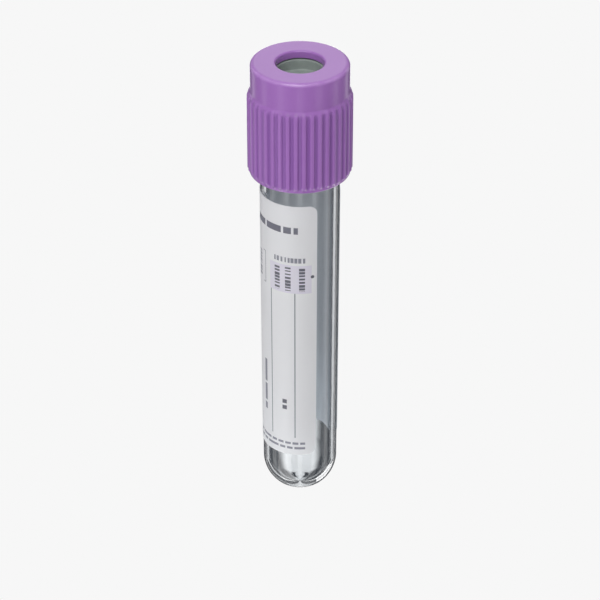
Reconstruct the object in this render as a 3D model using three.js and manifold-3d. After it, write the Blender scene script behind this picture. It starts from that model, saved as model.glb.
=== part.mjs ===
// Evacuated blood collection tube: a clear plastic tube with a round bottom, a wrap-round label, a rubber
// stopper in its mouth, and a ribbed plastic cap shell that holds the stopper and pulls off with it.
//
// Every piece is made upright, in the tube's own frame: the tip of the round bottom is the origin, +Y runs
// up the tube's axis to the cap, and +Z is the front. The round bottom can't stand and the tube rolls when
// it lies, so it is then upturned to stand on its cap: +Z runs from the cap's flat top to the round bottom,
// and the front faces -Y. Lengths are in millimetres and angles in radians.

import * as THREE from 'three';
import { mergeVertices } from 'three/addons/utils/BufferGeometryUtils.js';
import Module from 'manifold-3d';

// Tube
const tubeLength = 75;
const rimRadius = 6.5; // outside, at the mouth
const draft = 0.25; // how much less that radius is where the round bottom starts
const wall = 1;
const bottomWall = 1.1;
const rimRound = 0.3;

// Stopper
const headOverhang = 0.5; // past the tube's rim
const headHeight = 4.2;
const headRound = 0.4;
const plugLength = 8;
const plugLead = 0.8; // length of the tapered lead-in at the plug's lower end
const plugLeadDepth = 0.35;
const plugWall = 2.4; // round the cavity in the plug's underside
const cavityDepth = 4;
const wellDepth = 1.8;
const wellInset = 0.05; // from the edge of the cap shell's hole

// Cap shell
const shellHeight = 19.2;
const bandHeight = 4.8; // smooth band at the top
const bandWall = 0.8;
const bandRound = 0.6;
const topWall = 1.3;
const holeRadius = 3.85;
const holeChamfer = 0.25;
const shoulderHeight = 0.6;
const skirtWall = 1.15; // between the ribs
const skirtRound = 0.25;
const beadHeight = 1.6; // inward bead that snaps under the stopper's head
const beadRamp = 0.5;

// Ribs round the skirt
const ribCount = 40;
const ribHeight = 0.3;
const ribTipShare = 0.3; // of the pitch
const ribRootShare = 0.6; // of the pitch, at the rib's buried root
const ribRoot = 0.3; // how deep that root lies in the skirt's wall
const lipHeight = 0.5; // plain edge below the ribs

// Label
const labelStart = 3.75; // straight wall left bare below the label
const labelToShell = 3.3; // bare tube between the label and the cap shell
const labelWindow = 7.5; // width of the strip that the label leaves bare
const labelThickness = 0.08;
const labelCorner = 1.5;
const windowStart = THREE.MathUtils.degToRad(25); // from the front, round to the label's edge

// Clearances
const plugClearance = 0.05; // stopper's plug to the tube's bore
const seatGap = 0.3; // stopper's head to the tube's rim
const roofGap = 0.2; // stopper's head to the cap shell's roof
const pocketClearance = 0.1; // stopper's head to the cap shell's wall
const beadClearance = 0.15; // cap shell's bead to the tube's wall
const skirtClearance = 0.5; // cap shell's skirt to the tube's wall
const labelGap = 0.02; // label to the tube's wall

// Facets
const segments = 2 * ribCount; // round each turned piece, so that every rib has one facet of its own
const bottomSteps = 8;
const roundSteps = 3;
const cornerSteps = 4;
const step = (2 * Math.PI) / segments;
const quarter = Math.PI / 2;

// Places along the axis
const headBottom = tubeLength + seatGap;
const headTop = headBottom + headHeight;
const plugBottom = headBottom - plugLength;
const roof = headTop + roofGap; // underside of the cap shell's top
const shellTop = roof + topWall;
const shellBottom = shellTop - shellHeight;
const shoulderTop = shellTop - bandHeight;
const skirtTop = shoulderTop - shoulderHeight;
const ribBottom = shellBottom + lipHeight;
const ribTop = (skirtTop + shoulderTop) / 2; // the ribs run out on the shoulder's slope
const labelTop = shellBottom - labelToShell;

// Sizes that follow from the tube's
const bottomRadius = rimRadius - draft;
const labelBottom = bottomRadius + labelStart;
const headRadius = rimRadius + headOverhang;
const wellRadius = holeRadius - wellInset;
const pocketRadius = headRadius + pocketClearance;
const bandRadius = pocketRadius + bandWall;
const beadRadius = rimRadius + beadClearance;
const skirtInside = rimRadius + skirtClearance;
const skirtRadius = skirtInside + skirtWall;
const ribRadius = skirtRadius + ribHeight;
const ribPitch = (2 * Math.PI) / ribCount;

// The wall has a slight draft, so that the moulded tube leaves its core.
function tubeRadius(height) {
  const up = (height - bottomRadius) / (tubeLength - bottomRadius);
  return THREE.MathUtils.lerp(bottomRadius, rimRadius, THREE.MathUtils.clamp(up, 0, 1));
}

function boreRadius(height) {
  return tubeRadius(height) - wall;
}

function point(radius, height) {
  return new THREE.Vector2(radius, height);
}

// Points of an arc about (radius, height), from one angle to another; 0 points outwards, a quarter turn up.
function arc(radius, height, size, from, to, steps) {
  return Array.from({ length: steps + 1 }, (_, i) => {
    const angle = THREE.MathUtils.lerp(from, to, i / steps);
    return point(radius + size * Math.cos(angle), height + size * Math.sin(angle));
  });
}

function onCircle(angle, radius) {
  return point(radius * Math.cos(angle), radius * Math.sin(angle));
}

// Starts half a facet round, so that each rib stands on the middle of a facet.
function turned(profile) {
  return new THREE.LatheGeometry(profile, segments, step / 2);
}

function tubeGeometry() {
  const boreBottom = bottomRadius - wall;
  const rim = tubeLength - rimRound;
  const mouth = boreRadius(tubeLength) + rimRound;
  const profile = [
    ...arc(0, bottomRadius, bottomRadius, -quarter, 0, bottomSteps),
    ...arc(rimRadius - rimRound, rim, rimRound, 0, quarter, roundSteps),
    ...arc(mouth, rim, rimRound, quarter, 2 * quarter, roundSteps),
    ...arc(0, boreBottom + bottomWall, boreBottom, 0, -quarter, bottomSteps),
  ];
  profile[0].x = 0;
  profile.at(-1).x = 0;
  return turned(profile);
}

function plugRadius(height) {
  return boreRadius(height) - plugClearance;
}

function stopperGeometry() {
  const cavityRadius = plugRadius(plugBottom) - plugWall;
  const leadTop = plugBottom + plugLead;
  return turned([
    point(0, plugBottom + cavityDepth),
    point(cavityRadius, plugBottom + cavityDepth),
    point(cavityRadius, plugBottom),
    point(plugRadius(plugBottom) - plugLeadDepth, plugBottom),
    point(plugRadius(leadTop), leadTop),
    point(plugRadius(tubeLength), headBottom),
    ...arc(headRadius - headRound, headBottom + headRound, headRound, -quarter, 0, roundSteps),
    ...arc(headRadius - headRound, headTop - headRound, headRound, 0, quarter, roundSteps),
    point(wellRadius, headTop),
    point(wellRadius, headTop - wellDepth),
    point(0, headTop - wellDepth),
  ]);
}

function shellBody() {
  const beadTop = tubeLength - beadRamp;
  const beadBottom = beadTop - beadHeight;
  return turned([
    point(holeRadius, roof),
    point(pocketRadius, roof),
    point(pocketRadius, tubeLength),
    point(beadRadius, beadTop),
    point(beadRadius, beadBottom),
    point(skirtInside, beadBottom - beadRamp),
    point(skirtInside, shellBottom),
    ...arc(skirtRadius - skirtRound, shellBottom + skirtRound, skirtRound, -quarter, 0, roundSteps),
    point(skirtRadius, skirtTop),
    point(bandRadius, shoulderTop),
    ...arc(bandRadius - bandRound, shellTop - bandRound, bandRound, 0, quarter, roundSteps),
    point(holeRadius + holeChamfer, shellTop),
    point(holeRadius, shellTop - holeChamfer),
    point(holeRadius, roof),
  ]);
}

// A ring with one tooth for each rib. Between the teeth, and inside, it lies within the skirt's wall.
function ribRing() {
  const root = skirtRadius - ribRoot;
  const rootTurn = (ribRootShare * ribPitch) / 2;
  const tipTurn = (ribTipShare * ribPitch) / 2;
  const tooth = [[-rootTurn, root], [-tipTurn, ribRadius], [tipTurn, ribRadius], [rootTurn, root]];
  const outline = Array.from({ length: ribCount }, (_, i) => {
    const middle = (i + 0.5) * ribPitch;
    return tooth.map(([turn, radius]) => onCircle(middle + turn, radius));
  });
  const inside = Array.from({ length: segments }, (_, i) => onCircle((i + 0.5) * step, root - ribRoot));
  const ring = new THREE.Shape(outline.flat());
  ring.holes.push(new THREE.Path(inside));
  const geometry = new THREE.ExtrudeGeometry(ring, { depth: ribTop - ribBottom, bevelEnabled: false });
  return geometry.rotateX(-quarter).translate(0, ribBottom, 0);
}

const wasm = await Module();
wasm.setup();

function solid(geometry) {
  const bare = geometry.clone();
  bare.deleteAttribute('normal');
  bare.deleteAttribute('uv');
  const merged = mergeVertices(bare, 1e-4);
  return new wasm.Manifold(new wasm.Mesh({
    numProp: 3,
    vertProperties: merged.getAttribute('position').array,
    triVerts: new Uint32Array(merged.getIndex().array),
  }));
}

function fromSolid(manifold) {
  const mesh = manifold.getMesh();
  const geometry = new THREE.BufferGeometry();
  geometry.setAttribute('position', new THREE.BufferAttribute(mesh.vertProperties, 3));
  geometry.setIndex(new THREE.BufferAttribute(mesh.triVerts, 1));
  geometry.computeVertexNormals();
  return geometry;
}

function capShellGeometry() {
  return fromSolid(solid(shellBody()).add(solid(ribRing())));
}

// Half the label's height and its place round the tube, in millimetres from its middle, for each column
// of the flat label: the first and last columns follow the round corners.
function labelColumn(index, columns, width, height) {
  const fromEdge = Math.min(index, columns - index);
  const side = index < columns / 2 ? -1 : 1;
  if (fromEdge < cornerSteps) {
    const angle = quarter * (fromEdge / cornerSteps);
    return {
      across: side * (width / 2 - labelCorner * (1 - Math.cos(angle))),
      half: height / 2 - labelCorner * (1 - Math.sin(angle)),
    };
  }
  const along = (index - cornerSteps) / (columns - 2 * cornerSteps);
  return { across: (along - 0.5) * (width - 2 * labelCorner), half: height / 2 };
}

// A flat strip, bent round the tube: its length runs round the wall and its height up the axis.
function labelGeometry() {
  const middle = (labelBottom + labelTop) / 2;
  const height = labelTop - labelBottom;
  const around = 2 * Math.PI * tubeRadius(middle);
  const width = around - labelWindow;
  const columns = Math.round(segments * (width / around)) + 2 * cornerSteps;
  const geometry = new THREE.BoxGeometry(columns, 1, 1, columns, 1, 1);
  const position = geometry.getAttribute('position');
  for (let i = 0; i < position.count; i += 1) {
    const column = Math.round(position.getX(i) + columns / 2);
    const { across, half } = labelColumn(column, columns, width, height);
    const up = middle + Math.sign(position.getY(i)) * half;
    const radius = tubeRadius(up) + labelGap + (position.getZ(i) > 0 ? labelThickness : 0);
    const angle = windowStart - (width / 2 - across) / tubeRadius(middle);
    position.setXYZ(i, radius * Math.sin(angle), up, radius * Math.cos(angle));
  }
  geometry.computeVertexNormals();
  return geometry;
}

function piece(name, geometry, color, roughness, extra = {}) {
  const material = new THREE.MeshStandardMaterial({ color, roughness, metalness: 0, ...extra });
  const mesh = new THREE.Mesh(geometry, material);
  mesh.name = name;
  return mesh;
}

const tube = piece('tube', tubeGeometry(), 0xdfe3e6, 0.12, { transparent: true, opacity: 0.35 });
const stopper = piece('stopper', stopperGeometry(), 0x6f7672, 0.75);
const capShell = piece('cap_shell', capShellGeometry(), 0x8a54a5, 0.38);
const label = piece('label', labelGeometry(), 0xe4e5ea, 0.55);

const bloodCollectionTube = new THREE.Group();
bloodCollectionTube.add(tube, label, stopper, capShell);

// The origin is on the surface that the upturned tube stands on, at the middle of the cap's top.
bloodCollectionTube.rotation.set(quarter, 0, 2 * quarter);
bloodCollectionTube.position.z = shellTop;
bloodCollectionTube.updateMatrixWorld(true);

export default bloodCollectionTube;
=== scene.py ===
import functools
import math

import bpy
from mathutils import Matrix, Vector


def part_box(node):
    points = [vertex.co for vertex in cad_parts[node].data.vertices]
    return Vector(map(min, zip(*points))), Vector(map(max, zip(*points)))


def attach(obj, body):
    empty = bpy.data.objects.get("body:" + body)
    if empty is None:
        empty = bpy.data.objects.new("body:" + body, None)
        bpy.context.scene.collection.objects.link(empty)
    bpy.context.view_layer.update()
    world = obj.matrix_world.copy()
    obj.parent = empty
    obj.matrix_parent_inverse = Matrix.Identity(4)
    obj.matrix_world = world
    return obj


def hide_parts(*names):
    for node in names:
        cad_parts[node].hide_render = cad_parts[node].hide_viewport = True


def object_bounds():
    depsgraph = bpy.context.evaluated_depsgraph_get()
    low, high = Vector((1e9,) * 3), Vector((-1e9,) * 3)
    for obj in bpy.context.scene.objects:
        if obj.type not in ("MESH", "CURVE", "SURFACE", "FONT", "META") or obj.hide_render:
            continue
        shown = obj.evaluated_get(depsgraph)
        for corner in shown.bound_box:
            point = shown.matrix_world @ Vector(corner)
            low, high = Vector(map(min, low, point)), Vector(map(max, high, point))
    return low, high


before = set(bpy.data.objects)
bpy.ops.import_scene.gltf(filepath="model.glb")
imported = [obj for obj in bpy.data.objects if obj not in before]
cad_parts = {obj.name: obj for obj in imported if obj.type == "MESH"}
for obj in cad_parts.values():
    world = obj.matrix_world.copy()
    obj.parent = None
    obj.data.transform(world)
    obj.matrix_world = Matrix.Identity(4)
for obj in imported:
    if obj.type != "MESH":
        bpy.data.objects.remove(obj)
cad_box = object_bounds()

# Blood collection tube, stood on its cap: the fine meshes and finishes of its four pieces, with the camera,
# the lights and the floor. Heights run up from the cap's flat top, which is on the floor, to the tip of the
# round bottom. The front faces -Y. Turns are angles round the axis from the front towards -X. Lengths are
# in millimetres until a mesh is made, but the camera, the lamps and the floor are placed in metres.

MM = 0.001
CAD_FACETS = 80
RIB_COUNT = 40
TURN = 2 * math.pi
QUARTER = math.pi / 2

# Clear tube
WALL = 1.0
BOTTOM_WALL = 1.1
DRAFT = 0.25
RIM_ROUND = 0.3
GATE_RADIUS = 1.9
GATE_DEPTH = 0.1
NUB_RADIUS = 0.8
NUB_HEIGHT = 0.05

# Stopper
HEAD_HEIGHT = 4.2
HEAD_OVERHANG = 0.5
PLUG_CLEARANCE = 0.05
PLUG_LEAD = 0.8
PLUG_LEAD_DEPTH = 0.35
PLUG_WALL = 2.4
CAVITY_DEPTH = 4.0
WELL_DEPTH = 1.8
WELL_INSET = 0.05
DISH_RADIUS = 2.5
DISH_DEPTH = 0.35

# Cap shell
BAND_HEIGHT = 4.8
BAND_WALL = 0.8
BAND_ROUND = 0.6
TOP_WALL = 1.3
HOLE_RADIUS = 3.85
SHOULDER_HEIGHT = 0.6
POCKET_CLEARANCE = 0.1
SKIRT_CLEARANCE = 0.5
SKIRT_WALL = 1.15
BEAD_CLEARANCE = 0.15
BEAD_HEIGHT = 1.6
BEAD_RAMP = 0.5
RIB_HEIGHT = 0.3
RIB_TIP_SHARE = 0.3
RIB_ROOT_SHARE = 0.75
LIP_HEIGHT = 0.5
RIB_FADE = 0.35
RIB_RUN_OUT = 0.9

# Label
LABEL_WINDOW = 7.5
LABEL_THICKNESS = 0.08
LABEL_CLEARANCE = 0.02
LABEL_CORNER = 1.5
LABEL_CORNER_COLUMNS = 8
LABEL_COLUMNS = 160 + 2 * LABEL_CORNER_COLUMNS
LABEL_ROWS = 60
WINDOW_START = math.radians(25)

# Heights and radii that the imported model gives
shell_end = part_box("cap_shell")[1].z / MM
head_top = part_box("stopper")[0].z / MM
plug_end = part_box("stopper")[1].z / MM
rim_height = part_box("tube")[0].z / MM
tip_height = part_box("tube")[1].z / MM
label_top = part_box("label")[0].z / MM
label_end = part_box("label")[1].z / MM
rim_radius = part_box("tube")[1].x / MM / math.cos(math.pi / CAD_FACETS)

bottom_radius = rim_radius - DRAFT
bottom_centre = tip_height - bottom_radius
head_end = head_top + HEAD_HEIGHT
head_radius = rim_radius + HEAD_OVERHANG
pocket_radius = head_radius + POCKET_CLEARANCE
band_radius = pocket_radius + BAND_WALL
skirt_inside = rim_radius + SKIRT_CLEARANCE
skirt_radius = skirt_inside + SKIRT_WALL
skirt_start = BAND_HEIGHT + SHOULDER_HEIGHT
rib_start = BAND_HEIGHT + SHOULDER_HEIGHT / 2
rib_end = shell_end - LIP_HEIGHT


# Camera and light

def make_camera():
    """The camera looks at the cap's top from 32 degrees off the cap's plane, with the cap at the picture's
    top. That puts it below the floor."""
    elevation = math.radians(32)
    lens = 150
    distance = 0.415
    past_middle = 0.0035
    low, high = cad_box
    target = (low + high) / 2 + Vector((0, 0, past_middle))
    cap_way = Vector((0, 0, -1))
    back = Vector((0, -math.cos(elevation), 0)) + cap_way * math.sin(elevation)
    right = cap_way.cross(back).normalized()
    up = back.cross(right)
    data = bpy.data.cameras.new("photo_camera")
    data.lens = lens
    data.clip_start = 0.01
    data.clip_end = 100
    camera = bpy.data.objects.new("photo_camera", data)
    place = Matrix((right, up, back)).transposed().to_4x4()
    place.translation = target + back * distance
    camera.matrix_world = place
    bpy.context.scene.collection.objects.link(camera)
    bpy.context.scene.camera = camera


def soft_box(name, place, size, power):
    """An area lamp at a place given in metres, turned to the middle of the tube. Clear plastic mirrors it but
    doesn't show it straight through."""
    data = bpy.data.lights.new(name, "AREA")
    data.shape = "RECTANGLE"
    data.size, data.size_y = size
    data.energy = power
    lamp = bpy.data.objects.new(name, data)
    middle = (cad_box[0] + cad_box[1]) / 2
    lamp.location = Vector(place)
    lamp.visible_transmission = False
    lamp.rotation_mode = "QUATERNION"
    lamp.rotation_quaternion = (middle - lamp.location).to_track_quat("-Z", "Y")
    bpy.context.scene.collection.objects.link(lamp)


def make_lights():
    """Three soft boxes light the tube from the cap's side, two from the round bottom's side and one from
    behind, which shines through the label's paper."""
    soft_box("cap_key", (0.0, 0.14, -0.62), (1.0, 0.3), 0.15)
    soft_box("cap_sheen", (0.0, 0.55, -0.34), (0.5, 0.5), 0.3)
    soft_box("cap_fill", (0.12, -0.36, -0.48), (0.5, 0.5), 2.9)
    soft_box("top_key", (0.30, -0.25, 0.60), (0.45, 0.45), 1.5)
    soft_box("top_fill", (-0.45, 0.20, 0.70), (0.4, 0.4), 2.0)
    soft_box("back_fill", (0.0, 0.62, 0.20), (0.25, 0.25), 0.5)


# Node helpers

def new_material(name):
    """A material with an empty node tree, and the tree."""
    material = bpy.data.materials.new(name)
    material.use_nodes = True
    material.node_tree.nodes.clear()
    return material, material.node_tree


def add(tree, kind, inputs=None, **settings):
    """A node of that kind with its settings; inputs hold numbers, colours or other nodes' outputs."""
    node = tree.nodes.new("ShaderNode" + kind)
    for name, value in settings.items():
        setattr(node, name, value)
    for socket, value in (inputs or {}).items():
        if isinstance(value, bpy.types.NodeSocket):
            tree.links.new(value, node.inputs[socket])
        else:
            node.inputs[socket].default_value = value
    return node


def maths(tree, operation, *values):
    """The output of a Math node."""
    return add(tree, "Math", dict(enumerate(values)), operation=operation).outputs[0]


def any_of(tree, masks):
    """1 where any of the masks is."""
    return functools.reduce(lambda first, second: maths(tree, "MAXIMUM", first, second), masks)


def all_of(tree, masks):
    """1 where all of the masks are."""
    return functools.reduce(lambda first, second: maths(tree, "MULTIPLY", first, second), masks)


def ramp(tree, value, start, end, low=0.0, high=1.0, curve="LINEAR"):
    """Goes from low to high as the value goes from start to end, and stays level past them."""
    inputs = {0: value, 1: start, 2: end, 3: low, 4: high}
    return add(tree, "MapRange", inputs, interpolation_type=curve).outputs[0]


def mix_colour(tree, factor, first, second):
    """The output of a colour Mix node."""
    node = add(tree, "Mix", data_type="RGBA")
    for socket, value in zip((node.inputs[0], node.inputs[6], node.inputs[7]), (factor, first, second)):
        if isinstance(value, bpy.types.NodeSocket):
            tree.links.new(value, socket)
        else:
            socket.default_value = value
    return node.outputs[2]


def mix_shader(tree, factor, first, second):
    """The output of a Mix Shader node."""
    return add(tree, "MixShader", {0: factor, 1: first, 2: second}).outputs[0]


def linear(channel):
    """A linear channel from an sRGB one of 0 to 255."""
    share = channel / 255
    return share / 12.92 if share <= 0.04045 else ((share + 0.055) / 1.055) ** 2.4


def srgb(red, green, blue):
    """A linear colour from sRGB values of 0 to 255."""
    return (linear(red), linear(green), linear(blue), 1.0)


def noise(tree, scale, detail=2.0):
    """The grey output of a noise texture in object coordinates, with its scale in features to the
    millimetre."""
    where = add(tree, "TexCoord").outputs["Object"]
    return add(tree, "TexNoise", {"Vector": where, "Scale": scale / MM, "Detail": detail}).outputs["Fac"]


def bump(tree, height, depth, before=None):
    """A bump of that depth in millimetres."""
    node = add(tree, "Bump", {"Height": height, "Distance": depth * MM, "Strength": 1.0})
    if before is not None:
        tree.links.new(before, node.inputs["Normal"])
    return node.outputs[0]


def output(tree, shader):
    """Makes that shader the material's surface."""
    add(tree, "OutputMaterial", {"Surface": shader})


# Stage

BACKGROUND = srgb(247, 247, 247)
FLAG_GREY = srgb(76, 78, 82)


def flagged(tree, where):
    """The pale background with eight tall grey flags all round it, which draw the edges of the clear
    plastic. A flag is at the middle of its stretch and fades out at a share of it to both sides."""
    stretch = math.radians(45)
    solid_share, clear_share = 0.28, 0.4
    way = add(tree, "SeparateXYZ", {0: where}).outputs
    turn = maths(tree, "ARCTAN2", way["X"], way["Y"])
    share = maths(tree, "FRACT", maths(tree, "DIVIDE", turn, stretch))
    off = maths(tree, "ABSOLUTE", maths(tree, "SUBTRACT", share, 0.5))
    clear = ramp(tree, off, solid_share, clear_share, curve="SMOOTHSTEP")
    return mix_colour(tree, clear, FLAG_GREY, BACKGROUND)


def make_world():
    """Even light from all round. The camera sees the pale background in its place, and mirrors and clear
    plastic see the background with its flags."""
    world = bpy.data.worlds.new("studio")
    world.use_nodes = True
    tree = world.node_tree
    tree.nodes.clear()
    path = add(tree, "LightPath").outputs
    mirrored = maths(tree, "MAXIMUM", path["Is Glossy Ray"], path["Is Transmission Ray"])
    way = add(tree, "TexCoord").outputs["Generated"]
    light = add(tree, "Background", {"Color": (0.52, 0.52, 0.53, 1)}).outputs[0]
    flags = add(tree, "Background", {"Color": flagged(tree, way)}).outputs[0]
    back = add(tree, "Background", {"Color": BACKGROUND}).outputs[0]
    unseen = mix_shader(tree, mirrored, light, flags)
    add(tree, "OutputWorld", {"Surface": mix_shader(tree, path["Is Camera Ray"], unseen, back)})
    bpy.context.scene.world = world


def floor_top(tree, where, away, glossy):
    """Pale and matt, to take the tube's shadow, and fading into the background from near to far. Glossy rays
    see the flags on it instead."""
    near, far = 0.10, 0.45
    least_glow = 0.25
    fade = ramp(tree, away, near, far, low=least_glow, curve="SMOOTHSTEP")
    matt = add(tree, "BsdfDiffuse", {"Color": srgb(240, 240, 240)}).outputs[0]
    glow = add(tree, "Emission", {"Color": BACKGROUND}).outputs[0]
    flags = add(tree, "Emission", {"Color": flagged(tree, where)}).outputs[0]
    return mix_shader(tree, glossy, mix_shader(tree, fade, matt, glow), flags)


def floor_shown(tree, away, path):
    """1 where a ray from above sees the floor: all of it for the camera and through clear plastic, and all
    but a patch at the cap's foot in a mirror. 0 for light, and from below."""
    patch, patch_edge = 0.0086, 0.0105
    off_patch = ramp(tree, away, patch, patch_edge)
    mirrored = maths(tree, "MULTIPLY", path["Is Glossy Ray"], off_patch)
    direct = maths(tree, "MAXIMUM", path["Is Camera Ray"], path["Is Transmission Ray"])
    above = maths(tree, "SUBTRACT", 1.0, add(tree, "NewGeometry").outputs["Backfacing"])
    return maths(tree, "MULTIPLY", maths(tree, "MAXIMUM", direct, mirrored), above)


def floor_material():
    """The floor hides the lamps that are under it, but lets their light through."""
    material, tree = new_material("pale_floor")
    where = add(tree, "TexCoord").outputs["Object"]
    away = add(tree, "VectorMath", {0: where}, operation="LENGTH").outputs["Value"]
    path = add(tree, "LightPath").outputs
    clear = add(tree, "BsdfTransparent").outputs[0]
    top = floor_top(tree, where, away, path["Is Glossy Ray"])
    output(tree, mix_shader(tree, floor_shown(tree, away, path), clear, top))
    return material


def make_floor():
    """A wide floor, a hair below the cap's flat top."""
    half = 10.0
    drop = 0.00005
    corners = [(-half, -half, -drop), (half, -half, -drop), (half, half, -drop), (-half, half, -drop)]
    mesh = bpy.data.meshes.new("floor")
    mesh.from_pydata(corners, [], [(0, 1, 2, 3)])
    mesh.materials.append(floor_material())
    floor = bpy.data.objects.new("floor", mesh)
    bpy.context.scene.collection.objects.link(floor)


# Finishes

def clear_plastic(name):
    """Clear moulded plastic that lets lamps shine through, with painted shade darkening its colour towards
    its glancing edges.
    """
    material, tree = new_material(name)
    facing = add(tree, "LayerWeight", {"Blend": 0.35}).outputs["Facing"]
    # The grey colour at glancing angles is painted shade for the tube's dark edges.
    tint_and_edge_shade = mix_colour(tree, facing, (0.955, 0.972, 0.985, 1), (0.42, 0.46, 0.5, 1))
    body = add(tree, "BsdfPrincipled", {
        "Base Color": tint_and_edge_shade,
        "Roughness": 0.03,
        "IOR": 1.57,
        "Transmission Weight": 1.0,
        "Normal": bump(tree, noise(tree, 0.12), 0.02),
    }).outputs[0]
    clear = add(tree, "BsdfTransparent", {"Color": (0.9, 0.92, 0.93, 1)}).outputs[0]
    shadow = add(tree, "LightPath").outputs["Is Shadow Ray"]
    output(tree, mix_shader(tree, shadow, body, clear))
    return material


def from_axis(tree):
    """How far a point is from the tube's axis, and its height, in metres."""
    place = add(tree, "SeparateXYZ", {0: add(tree, "TexCoord").outputs["Object"]}).outputs
    across = add(tree, "CombineXYZ", {0: place["X"], 1: place["Y"]}).outputs[0]
    away = add(tree, "VectorMath", {0: across}, operation="LENGTH").outputs["Value"]
    return away, place["Z"]


def painted_rib_shade(tree):
    """Painted shade: 1 in the valleys between the cap shell's ribs, where the colour is darkened to stand in
    for shade, 0 on their tips and off the skirt.
    """
    tip_share = 0.8
    tip = skirt_radius + RIB_HEIGHT * tip_share
    skin = skirt_radius - 0.1
    away, height = from_axis(tree)
    low = ramp(tree, away, tip * MM, skirt_radius * MM)
    outside = maths(tree, "GREATER_THAN", away, skin * MM)
    starts = ramp(tree, height, rib_start * MM, (rib_start + RIB_RUN_OUT) * MM)
    ends = ramp(tree, height, rib_end * MM, (rib_end - RIB_FADE) * MM)
    return all_of(tree, [low, outside, starts, ends])


def painted_edge_highlight(tree):
    """Painted highlight: up to 1 on the rounded edge between the cap shell's flat top and its band, where the
    colour is made paler to stand in for a highlight, in patches from noise.
    """
    full_share = 0.25
    full = BAND_ROUND * full_share
    away, height = from_axis(tree)
    out = ramp(tree, away, (band_radius - BAND_ROUND) * MM, (band_radius - full) * MM)
    near_top = ramp(tree, height, BAND_ROUND * MM, full * MM)
    # Noise breaks the painted highlight into patches.
    patchy = ramp(tree, noise(tree, 0.5, 3.0), 0.35, 0.65, low=0.3, high=0.75)
    return all_of(tree, [out, near_top, patchy])


def cap_plastic():
    """Lavender moulded plastic with a fine satin texture, with painted shade between the ribs and a painted
    highlight on its top edge."""
    material, tree = new_material("cap_plastic")
    cloudy = noise(tree, 0.25, 3.0)
    colour = mix_colour(tree, cloudy, srgb(157, 107, 181), srgb(150, 100, 174))
    # The darker valley colour is painted shade between the ribs.
    colour = mix_colour(tree, painted_rib_shade(tree), colour, srgb(135, 88, 161))
    # The pale edge colour is a painted highlight on the top edge.
    colour = mix_colour(tree, painted_edge_highlight(tree), colour, srgb(186, 144, 206))
    body = add(tree, "BsdfPrincipled", {
        "Base Color": colour,
        "Roughness": 0.32,
        "IOR": 1.5,
        "Coat Weight": 0.3,
        "Coat Roughness": 0.12,
        "Normal": bump(tree, noise(tree, 6.0, 1.0), 0.004),
    })
    output(tree, body.outputs[0])
    return material


def rubber():
    """Matt grey-green rubber with fine grain."""
    material, tree = new_material("stopper_rubber")
    mottled = noise(tree, 0.8, 4.0)
    body = add(tree, "BsdfPrincipled", {
        "Base Color": mix_colour(tree, mottled, srgb(124, 133, 128), srgb(142, 151, 146)),
        "Roughness": 0.62,
        "IOR": 1.5,
        "Normal": bump(tree, noise(tree, 8.0, 2.0), 0.01),
    })
    output(tree, body.outputs[0])
    return material


# The label's print, in which no bar or mark is a letter

def chance(tree, first, second):
    """A fixed random number from 0 to 1 for each pair of whole numbers."""
    pair = add(tree, "CombineXYZ", {0: first, 1: second}).outputs[0]
    return add(tree, "TexWhiteNoise", {"Vector": pair}, noise_dimensions="2D").outputs["Value"]


def steps_of(tree, value, start, size):
    """How many whole steps of that size a value is past the start, and the part of a step left over."""
    count = maths(tree, "DIVIDE", maths(tree, "SUBTRACT", value, start), size)
    return maths(tree, "FLOOR", count), maths(tree, "FRACT", count)


def bar_length(tree, luck, words):
    """How much of its unit a bar fills. A word fills most of it, or by chance all of it and so runs into the
    next; a short mark fills a share of it that varies."""
    if words:
        most, word = 0.68, 0.76
        runs_on = maths(tree, "GREATER_THAN", luck, most)
        return maths(tree, "ADD", runs_on, word)
    least, spread = 0.38, 0.5
    return maths(tree, "MULTIPLY_ADD", luck, spread, least)


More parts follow.
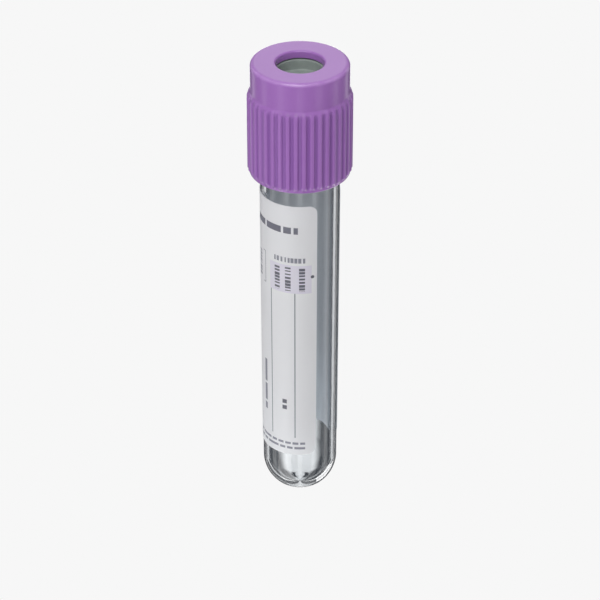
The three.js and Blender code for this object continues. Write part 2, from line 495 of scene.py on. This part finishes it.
class FlatLabel:
    """Masks on the flat label, which are 1 inside a shape and 0 outside it. Places are millimetres across
    from the label's edge by the window, and down from its end by the cap."""

    def __init__(self, tree):
        self.tree = tree
        place = add(tree, "UVMap", uv_map="label_mm").outputs["UV"]
        split = add(tree, "SeparateXYZ", {"Vector": place}).outputs
        self.across = split["X"]
        self.down = split["Y"]

    def within(self, value, start, end):
        """Between two places on one way over the label."""
        return maths(self.tree, "COMPARE", value, (start + end) / 2, (end - start) / 2)

    def box(self, left, right, top, bottom):
        """A plain box."""
        sides = [self.within(self.across, left, right), self.within(self.down, top, bottom)]
        return all_of(self.tree, sides)

    def offset(self, across, down):
        """How far a point is from a place, across and down."""
        away = maths(self.tree, "SUBTRACT", self.across, across)
        return away, maths(self.tree, "SUBTRACT", self.down, down)

    def ring(self, across, down, radius, reach):
        """A ring that reaches so far inwards and outwards, or a disc where its radius is 0."""
        squares = [maths(self.tree, "MULTIPLY", way, way) for way in self.offset(across, down)]
        away = maths(self.tree, "SQRT", maths(self.tree, "ADD", *squares))
        return maths(self.tree, "COMPARE", away, radius, reach)

    def diamond(self, across, down, radius, reach):
        """The outline of a square that stands on its corner."""
        ways = [maths(self.tree, "ABSOLUTE", way) for way in self.offset(across, down)]
        return maths(self.tree, "COMPARE", maths(self.tree, "ADD", *ways), radius, reach)

    def bars(self, along, over, start, end, first, pitch, unit, seed, lines, words):
        """Lines of bars in the place of print. They run along one way, from start to end, and are counted
        over the other way, from the first on."""
        tree = self.tree
        seed_spacing = 37.0
        middle, half_width = 0.4, 0.24
        line, in_line = steps_of(tree, over, first, pitch)
        line = maths(tree, "ADD", line, seed * seed_spacing)
        shifted = maths(tree, "MULTIPLY_ADD", chance(tree, line, line), unit, along)
        bar, in_bar = steps_of(tree, shifted, start, unit)
        luck = chance(tree, bar, maths(tree, "ADD", line, 0.5))
        return all_of(tree, [
            maths(tree, "COMPARE", in_line, middle, half_width),
            maths(tree, "LESS_THAN", in_bar, bar_length(tree, luck, words)),
            self.within(along, start, end),
            self.within(over, first, first + lines * pitch),
        ])

    def columns(self, start, end, first, pitch, unit, seed, lines=1, words=True):
        """Bars that run down the label."""
        return self.bars(self.down, self.across, start, end, first, pitch, unit, seed, lines, words)

    def rows(self, start, end, first, pitch, unit, seed, lines=1, words=True):
        """Bars that run across the label."""
        return self.bars(self.across, self.down, start, end, first, pitch, unit, seed, lines, words)


def pale_fields(flat):
    """The lavender field behind the dark marks by the window, and the strip along the label's far edge."""
    field = flat.box(0.9, 8.1, 11.0, 16.3)
    strip = flat.box(30.5, 32.4, 0.0, 48.5)
    return any_of(flat.tree, [field, strip])


def purple_stripe(flat):
    """The stripe beside that strip, which a diamond breaks."""
    upper = flat.box(29.15, 30.4, 5.8, 25.3)
    diamond = flat.diamond(29.8, 28.05, 1.1, 0.2)
    lower = flat.box(29.15, 30.4, 30.8, 46.9)
    return any_of(flat.tree, [upper, diamond, lower])


def ruled_lines(flat):
    """Four lines that run down the label."""
    half = 0.1
    first, apart = 3.6, 4.3
    places = [first + apart * i for i in range(4)]
    return any_of(flat.tree, [flat.box(place - half, place + half, 16.3, 45.0) for place in places])


def bracket(flat, left, right, top, bottom):
    """Three thin sides of a box, open on its right."""
    line = 0.12
    return [
        flat.box(left, left + line, top, bottom),
        flat.box(left, right, top, top + line),
        flat.box(left, right, bottom - line, bottom),
    ]


def heading(flat):
    """One row of large bars near the cap."""
    return flat.rows(3.1, 16.5, first=3.5, pitch=2.5, unit=1.7, seed=14)


def grey_print(flat):
    """Marks and words of middling size, the bracket and the two rows at the round bottom's end."""
    return any_of(flat.tree, [
        flat.rows(1.7, 7.2, first=9.3, pitch=1.9, unit=0.62, seed=1, words=False),
        *bracket(flat, 9.3, 10.0, 9.9, 15.9),
        flat.columns(10.5, 15.4, first=10.3, pitch=2.4, unit=0.62, seed=2, words=False),
        flat.columns(31.0, 41.0, first=9.0, pitch=1.4, unit=1.9, seed=9),
        flat.columns(13.6, 26.8, first=26.7, pitch=1.5, unit=1.7, seed=5),
        flat.columns(31.6, 45.2, first=26.7, pitch=1.5, unit=1.7, seed=6),
        flat.rows(1.9, 15.6, first=45.8, pitch=0.95, unit=1.3, seed=8, lines=2),
        flat.columns(0.6, 4.6, first=29.1, pitch=1.4, unit=1.1, seed=10),
    ])


def faint_print(flat):
    """Two blocks of small words."""
    short = flat.columns(5.2, 20.6, first=18.2, pitch=0.85, unit=1.1, seed=3, lines=6)
    tall = flat.columns(22.6, 44.5, first=18.2, pitch=0.85, unit=1.1, seed=4, lines=9)
    return any_of(flat.tree, [short, tall])


def dark_marks(flat):
    """Three columns of dark marks by the window, a dot, and plain squares, rings and dashes."""
    starts = {11: 1.65, 12: 3.95, 13: 5.85}
    marks = [
        flat.columns(11.4, 15.9, first=start, pitch=2.0, unit=0.62, seed=seed, words=False)
        for seed, start in starts.items()
    ]
    dot = flat.ring(0.75, 13.2, 0.0, 0.3)
    small_squares = [flat.box(5.0, 5.8, top, top + 0.8) for top in (37.4, 38.6)]
    block = flat.box(24.3, 25.3, 5.4, 8.6)
    rings = [flat.ring(27.4, down, 0.55, 0.2) for down in (4.6, 9.2)]
    squares = [flat.box(26.7, 28.1, top, top + 1.3) for top in (6.2, 10.9)]
    dashes = [flat.box(26.8, 28.0, top, top + 0.4) for top in (28.0, 29.3)]
    return any_of(flat.tree, [*marks, dot, *small_squares, block, *rings, *squares, *dashes])


def label_colour(tree):
    """White paper with its fields of pale lavender, purple stripe, ruled lines, marks and bars."""
    flat = FlatLabel(tree)
    colour = mix_colour(tree, pale_fields(flat), srgb(232, 232, 236), srgb(220, 215, 232))
    inks = [
        (purple_stripe, srgb(128, 106, 148)),
        (ruled_lines, srgb(140, 144, 150)),
        (heading, srgb(108, 108, 120)),
        (faint_print, srgb(152, 151, 162)),
        (grey_print, srgb(132, 132, 143)),
        (dark_marks, srgb(92, 91, 104)),
    ]
    for shape, ink in inks:
        colour = mix_colour(tree, shape(flat), colour, ink)
    return colour


def label_paper(name, printed):
    """White coated paper, printed or bare, which lets some light through."""
    material, tree = new_material(name)
    bare = srgb(209, 212, 218)
    fibre = bump(tree, noise(tree, 5.0, 3.0), 0.004)
    waves = bump(tree, noise(tree, 0.12, 1.0), 0.06, fibre)
    body = add(tree, "BsdfPrincipled", {
        "Base Color": label_colour(tree) if printed else bare,
        "Roughness": 0.42,
        "Normal": waves,
        "Subsurface Weight": 0.9,
        "Subsurface Radius": (1.0, 1.0, 1.0),
        "Subsurface Scale": 0.4 * MM,
    })
    output(tree, body.outputs[0])
    return material


# Shapes

def arc(centre, size, start, end, steps):
    """Points of an arc about (radius, height), from one angle to another; 0 points outwards, a quarter up."""
    return [
        (centre[0] + size * math.cos(a), centre[1] + size * math.sin(a))
        for a in (start + (end - start) * i / steps for i in range(steps + 1))
    ]


def filleted(corners, loop=False, steps=5):
    """A profile through (radius, height, fillet) corners, each fillet made as an arc of short steps."""
    points = []
    count = len(corners)
    for i, (radius, height, fillet) in enumerate(corners):
        here = Vector((radius, height))
        if not fillet or not loop and i in (0, count - 1):
            points.append((radius, height))
            continue
        back = (Vector(corners[i - 1][:2]) - here).normalized()
        on = (Vector(corners[(i + 1) % count][:2]) - here).normalized()
        half = back.angle(on) / 2
        centre = here + (back + on).normalized() * (fillet / math.sin(half))
        start = here + back * (fillet / math.tan(half)) - centre
        end = here + on * (fillet / math.tan(half)) - centre
        swing = start.angle_signed(end)
        first = math.atan2(start.y, start.x)
        points += arc(centre, fillet, first, first - swing, steps)
    return points


def divided(points, longest, loop=False):
    """The same profile with no stretch longer than that."""
    ends = points[1:] + points[:1] if loop else points[1:]
    out = []
    for (r0, h0), (r1, h1) in zip(points, ends):
        parts = max(1, math.ceil(math.hypot(r1 - r0, h1 - h0) / longest))
        out += [(r0 + (r1 - r0) * i / parts, h0 + (h1 - h0) * i / parts) for i in range(parts)]
    return out if loop else out + [points[-1]]


def around(radius, height, turn):
    """A point in metres."""
    return (-radius * math.sin(turn) * MM, -radius * math.cos(turn) * MM, height * MM)


def make_piece(name, vertices, faces, materials, face_materials=None):
    """A smooth mesh object with its sharp edges kept."""
    sharp = math.radians(40)
    mesh = bpy.data.meshes.new(name)
    mesh.from_pydata(vertices, [], faces)
    for material in materials:
        mesh.materials.append(material)
    if face_materials:
        mesh.polygons.foreach_set("material_index", face_materials)
    mesh.shade_smooth()
    mesh.set_sharp_from_angle(angle=sharp)
    mesh.validate()
    piece = bpy.data.objects.new(name, mesh)
    bpy.context.scene.collection.objects.link(piece)
    return piece


def turned_faces(rings, steps, loop):
    """Quads between each ring of points and the next, or triangles where one of them is a single point."""
    pairs = list(zip(rings, rings[1:]))
    if loop:
        pairs.append((rings[-1], rings[0]))
    faces = []
    for low, high in pairs:
        for i in range(steps):
            j = (i + 1) % steps
            corners = (low[i], low[j], high[j], high[i])
            faces.append(tuple(dict.fromkeys(corners)))
    return faces


def turned(profile, steps, relief=None, loop=False):
    """Vertices and faces of a profile turned about the axis. Its ends are on the axis unless it is a loop.

    The profile runs so that the solid lies on its right. Relief gives an added radius for a radius, height
    and turn.
    """
    on_axis = 1e-6
    vertices = []
    rings = []
    for radius, height in profile:
        if radius < on_axis:
            rings.append([len(vertices)] * steps)
            vertices.append(around(0, height, 0))
            continue
        rings.append(range(len(vertices), len(vertices) + steps))
        for i in range(steps):
            turn = TURN * i / steps
            extra = relief(radius, height, turn) if relief else 0
            vertices.append(around(radius + extra, height, turn))
    return vertices, turned_faces(rings, steps, loop)


def tube_radius(height):
    """The tube's outer radius: widest at the mouth, less towards the round bottom."""
    share = (height - rim_height) / (bottom_centre - rim_height)
    return rim_radius - DRAFT * min(max(share, 0), 1)


def smooth(value, low, high):
    """0 below low, 1 above high, and an even curve between."""
    share = min(max((value - low) / (high - low), 0), 1)
    return share * share * (3 - 2 * share)


# Pieces

def gate_point(radius, height):
    """A point of the round bottom, with the shallow dimple and low nub where the plastic was let in."""
    dimple = 1 - smooth(radius, NUB_RADIUS, GATE_RADIUS)
    nub = 1 - smooth(radius, 0, NUB_RADIUS)
    return radius, height - GATE_DEPTH * dimple + NUB_HEIGHT * nub


def tube_bottom():
    """The outside of the round bottom from its tip, with steps that are short at the gate mark."""
    steps = 60
    crowding = 1.5
    angles = [QUARTER * (i / steps) ** crowding for i in range(steps + 1)]
    return [
        gate_point(bottom_radius * math.sin(a), bottom_centre + bottom_radius * math.cos(a))
        for a in angles
    ]


def tube_rim():
    """The rolled rim at the mouth, from the outside to the inside."""
    steps = 6
    outer = (rim_radius - RIM_ROUND, rim_height + RIM_ROUND)
    inner = (rim_radius - WALL + RIM_ROUND, rim_height + RIM_ROUND)
    out_to_end = arc(outer, RIM_ROUND, 0, -QUARTER, steps)
    end_to_in = arc(inner, RIM_ROUND, -QUARTER, -2 * QUARTER, steps)
    return out_to_end + end_to_in


def make_tube():
    """The clear tube, with its gate mark at the tip and a rolled rim."""
    steps = 192
    inside_steps = 28
    inner = bottom_radius - WALL
    inner_centre = tip_height - BOTTOM_WALL - inner
    inside = arc((0, inner_centre), inner, 0, QUARTER, inside_steps)
    inside[-1] = (0, inner_centre + inner)
    outline = divided(tube_bottom() + tube_rim() + inside, longest=1.5)
    vertices, faces = turned(outline, steps)
    return make_piece("clear_tube", vertices, faces, [clear_plastic("clear_plastic")])


def make_stopper():
    """The rubber stopper: a head with a dished well, and a hollow plug with a tapered end."""
    steps = 160
    bore = rim_radius - WALL
    plug_top = bore - PLUG_CLEARANCE
    slope = DRAFT / (bottom_centre - rim_height)
    plug_low = plug_top - slope * (plug_end - PLUG_LEAD - rim_height)
    cavity = plug_low - PLUG_WALL
    well = HOLE_RADIUS - WELL_INSET
    floor = head_top + WELL_DEPTH
    corners = [
        (0, floor + DISH_DEPTH, 0),
        (DISH_RADIUS / 2, floor + DISH_DEPTH, 0.8),
        (DISH_RADIUS, floor, 0.6),
        (well, floor, 0.25),
        (well, head_top, 0.2),
        (head_radius, head_top, 0.4),
        (head_radius, head_end, 0.4),
        (plug_top, head_end, 0.15),
        (plug_low, plug_end - PLUG_LEAD, 0.4),
        (plug_low - PLUG_LEAD_DEPTH, plug_end, 0.2),
        (cavity, plug_end, 0.25),
        (cavity, plug_end - CAVITY_DEPTH, 0.6),
        (0, plug_end - CAVITY_DEPTH, 0),
    ]
    outline = divided(filleted(corners), longest=0.5)
    vertices, faces = turned(outline, steps)
    return make_piece("rubber_stopper", vertices, faces, [rubber()])


def rib_relief(radius, height, turn):
    """How far a rib stands out of the skirt there."""
    inner_side = skirt_radius - 0.3
    if radius < inner_side:
        return 0
    pitch = TURN / RIB_COUNT
    off = abs((turn / pitch) % 1 - 0.5)
    across = 1 - smooth(off, RIB_TIP_SHARE / 2, RIB_ROOT_SHARE / 2)
    starts = smooth(height, rib_start - 0.1, rib_start + RIB_RUN_OUT)
    ends = 1 - smooth(height, rib_end - RIB_FADE, rib_end)
    return RIB_HEIGHT * across * starts * ends


def make_cap_shell():
    """The cap shell: a flat ring with a hole, a smooth band, a shoulder and a ribbed skirt with a plain
    lip."""
    steps_per_rib = 14
    bead_start = rim_height + BEAD_RAMP
    bead_end = bead_start + BEAD_HEIGHT
    bead_radius = rim_radius + BEAD_CLEARANCE
    corners = [
        (HOLE_RADIUS, 0, 0.3),
        (band_radius, 0, BAND_ROUND),
        (band_radius, BAND_HEIGHT, 0.35),
        (skirt_radius, skirt_start, 0.35),
        (skirt_radius, rib_end - RIB_FADE, 0),
        (skirt_radius, rib_end, 0),
        (skirt_radius, shell_end, 0.22),
        (skirt_inside, shell_end, 0.3),
        (skirt_inside, bead_end + BEAD_RAMP, 0),
        (bead_radius, bead_end, 0),
        (bead_radius, bead_start, 0),
        (pocket_radius, rim_height, 0),
        (pocket_radius, TOP_WALL, 0.3),
        (HOLE_RADIUS, TOP_WALL, 0.15),
    ]
    outline = divided(filleted(corners, loop=True), longest=0.35, loop=True)
    vertices, faces = turned(outline, RIB_COUNT * steps_per_rib, rib_relief, loop=True)
    return make_piece("lavender_cap_shell", vertices, faces, [cap_plastic()])


def label_column(index, width, height):
    """Where a column of the flat label stands across it, from its middle, and half that column's height."""
    from_edge = min(index, LABEL_COLUMNS - index)
    side = -1 if index < LABEL_COLUMNS / 2 else 1
    if from_edge < LABEL_CORNER_COLUMNS:
        angle = QUARTER * from_edge / LABEL_CORNER_COLUMNS
        across = side * (width / 2 - LABEL_CORNER * (1 - math.cos(angle)))
        return across, height / 2 - LABEL_CORNER * (1 - math.sin(angle))
    along = (index - LABEL_CORNER_COLUMNS) / (LABEL_COLUMNS - 2 * LABEL_CORNER_COLUMNS)
    return (along - 0.5) * (width - 2 * LABEL_CORNER), height / 2


def label_points():
    """The points of the label's outer skin and then its inner one, and the place of each on the flat
    label."""
    middle = (label_top + label_end) / 2
    height = label_end - label_top
    radius = tube_radius(middle)
    width = TURN * radius - LABEL_WINDOW
    vertices = []
    flat = []
    for skin in (LABEL_CLEARANCE + LABEL_THICKNESS, LABEL_CLEARANCE):
        for i in range(LABEL_COLUMNS + 1):
            across, half = label_column(i, width, height)
            turn = WINDOW_START - (width / 2 - across) / radius
            for j in range(LABEL_ROWS + 1):
                up = middle + half * (2 * j / LABEL_ROWS - 1)
                vertices.append(around(tube_radius(up) + skin, up, turn))
                flat.append((width / 2 - across, up - label_top))
    return vertices, flat


def label_faces():
    """The faces of both skins, and those of the edge between them."""
    columns, rows = LABEL_COLUMNS, LABEL_ROWS
    side = (columns + 1) * (rows + 1)
    faces = []

    def spot(i, j):
        return i * (rows + 1) + j

    for i in range(columns):
        for j in range(rows):
            quad = (spot(i, j), spot(i + 1, j), spot(i + 1, j + 1), spot(i, j + 1))
            faces.append(quad)
            faces.append(tuple(side + k for k in reversed(quad)))
    edge = [spot(i, 0) for i in range(columns)]
    edge += [spot(columns, j) for j in range(rows)]
    edge += [spot(i, rows) for i in range(columns, 0, -1)]
    edge += [spot(0, j) for j in range(rows, 0, -1)]
    for a, b in zip(edge, edge[1:] + edge[:1]):
        faces.append((b, a, side + a, side + b))
    return faces


def make_label():
    """The paper label, wrapped round the tube but for its clear window, with round corners and a real edge.
    Its outer skin is printed."""
    vertices, flat = label_points()
    faces = label_faces()
    inner_start = len(vertices) // 2
    backs = [max(face) >= inner_start for face in faces]
    papers = [label_paper("label_paper", True), label_paper("label_back", False)]
    piece = make_piece("wrap_label", vertices, faces, papers, backs)
    layer = piece.data.uv_layers.new(name="label_mm")
    for loop in piece.data.loops:
        layer.data[loop.index].uv = flat[loop.vertex_index]
    return piece


def fit(piece, body, node):
    """The piece rides on its body and stands for its CAD node, which is hidden."""
    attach(piece, body)
    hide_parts(node)


make_camera()
make_lights()
make_world()
make_floor()
fit(make_tube(), "tube", "tube")
fit(make_label(), "tube", "label")
fit(make_stopper(), "closure", "stopper")
fit(make_cap_shell(), "closure", "cap_shell")
bpy.context.scene.view_settings.view_transform = "Standard"
